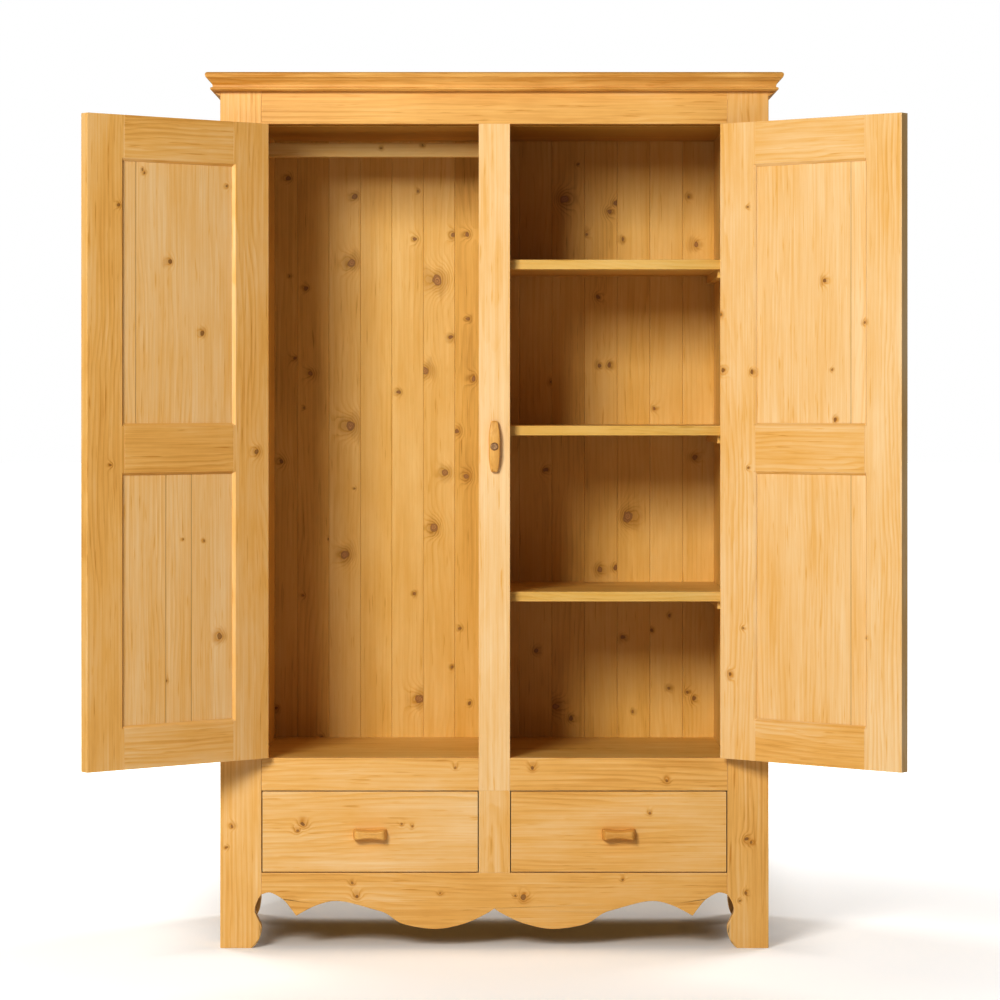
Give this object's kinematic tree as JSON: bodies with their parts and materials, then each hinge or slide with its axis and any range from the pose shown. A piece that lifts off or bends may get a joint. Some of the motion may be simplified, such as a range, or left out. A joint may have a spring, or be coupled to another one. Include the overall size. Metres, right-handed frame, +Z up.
{
  "type": "wardrobe with doors",
  "caption": "Free-standing pine wardrobe with two panelled hinged doors, hanging space beside shelves, two drawers below, a scalloped apron on scrolled feet and a wooden turn-button.",
  "frame": {"origin": "on the floor, midway across, and midway between the back and the edges of the doors as they stand open", "axes": "+Z up, +X to the right as one faces the wardrobe, the front faces -Y"},
  "size_m": [1.7672, 0.8546, 1.95],
  "materials": {
    "pine_stiles": "waxed, satin",
    "pine_rails": "waxed, satin",
    "pine_panels": "waxed, satin",
    "pine_matchboard": "waxed, satin",
    "pine_shelves": "waxed, satin",
    "pine_carcass": "plain, matt",
    "pine_doors": "waxed, satin",
    "pine_drawers": "waxed, satin",
    "carved_pine": "waxed, satin, worn arrises",
    "aged_brass": "aged, satin",
    "bronze": "dark bronzed, satin"
  },
  "bodies": {
    "carcass": {"left_front_stile": "pine_stiles", "right_front_stile": "pine_stiles", "header_rail": "pine_rails", "centre_post": "pine_stiles", "drawer_muntin": "pine_stiles", "mid_rails": "pine_rails", "apron": "pine_rails", "left_rear_post": "pine_stiles", "right_rear_post": "pine_stiles", "back_rails": "pine_carcass", "back_boards": "pine_matchboard", "left_side_stiles": "pine_stiles", "right_side_stiles": "pine_stiles", "left_side_rails": "pine_rails", "right_side_rails": "pine_rails", "left_side_panels": "pine_panels", "right_side_panels": "pine_panels", "side_linings": "pine_matchboard", "partition": "pine_matchboard", "cabinet_floor": "pine_shelves", "top_board": "pine_rails", "upper_shelf": "pine_shelves", "middle_shelf": "pine_shelves", "lower_shelf": "pine_shelves", "shelf_cleats": "pine_carcass", "hanging_rail": "pine_shelves", "ceiling": "pine_carcass", "drawer_runners": "pine_carcass", "floor_bearers": "pine_carcass", "cornice_front": "pine_rails", "left_cornice": "pine_rails", "right_cornice": "pine_rails", "frame_hinge_leaves": "aged_brass", "hinge_pins": "aged_brass", "frame_hinge_screws": "aged_brass", "button_screw": "bronze"},
    "left_door": {"left_hinge_stile": "pine_doors", "left_closing_stile": "pine_doors", "left_door_rails": "pine_doors", "left_upper_panel": "pine_panels", "left_lower_panel": "pine_panels", "left_door_leaves": "aged_brass", "left_door_screws": "aged_brass"},
    "right_door": {"right_hinge_stile": "pine_doors", "right_closing_stile": "pine_doors", "right_door_rails": "pine_doors", "right_upper_panel": "pine_panels", "right_lower_panel": "pine_panels", "right_door_leaves": "aged_brass", "right_door_screws": "aged_brass"},
    "left_drawer": {"left_drawer_front": "pine_drawers", "left_drawer_box": "pine_drawers", "left_drawer_bottom": "pine_drawers", "left_drawer_pull": "carved_pine"},
    "right_drawer": {"right_drawer_front": "pine_drawers", "right_drawer_box": "pine_drawers", "right_drawer_bottom": "pine_drawers", "right_drawer_pull": "carved_pine"},
    "turn_button": {"turn_button": "carved_pine", "button_cup_washer": "bronze"}
  },
  "joints": [
    {"name": "left_door_swing", "type": "hinge", "parent": "carcass", "child": "left_door", "pos_m": [-0.518, -0.0974, 1.13], "axis": [0, 0, -1], "range_deg": [-140, 38]},
    {"name": "right_door_swing", "type": "hinge", "parent": "carcass", "child": "right_door", "pos_m": [0.518, -0.0974, 1.13], "axis": [0, 0, 1], "range_deg": [-140, 38]},
    {"name": "left_drawer_slide", "type": "slide", "parent": "carcass", "child": "left_drawer", "axis": [0, -1, 0], "range_m": [0, 0.35]},
    {"name": "right_drawer_slide", "type": "slide", "parent": "carcass", "child": "right_drawer", "axis": [0, -1, 0], "range_m": [0, 0.35]},
    {"name": "turn_button_turn", "type": "hinge", "parent": "carcass", "child": "turn_button", "pos_m": [0, -0.1045, 1.118], "axis": [0, 1, 0], "range_deg": [-90, 90]}
  ]
}
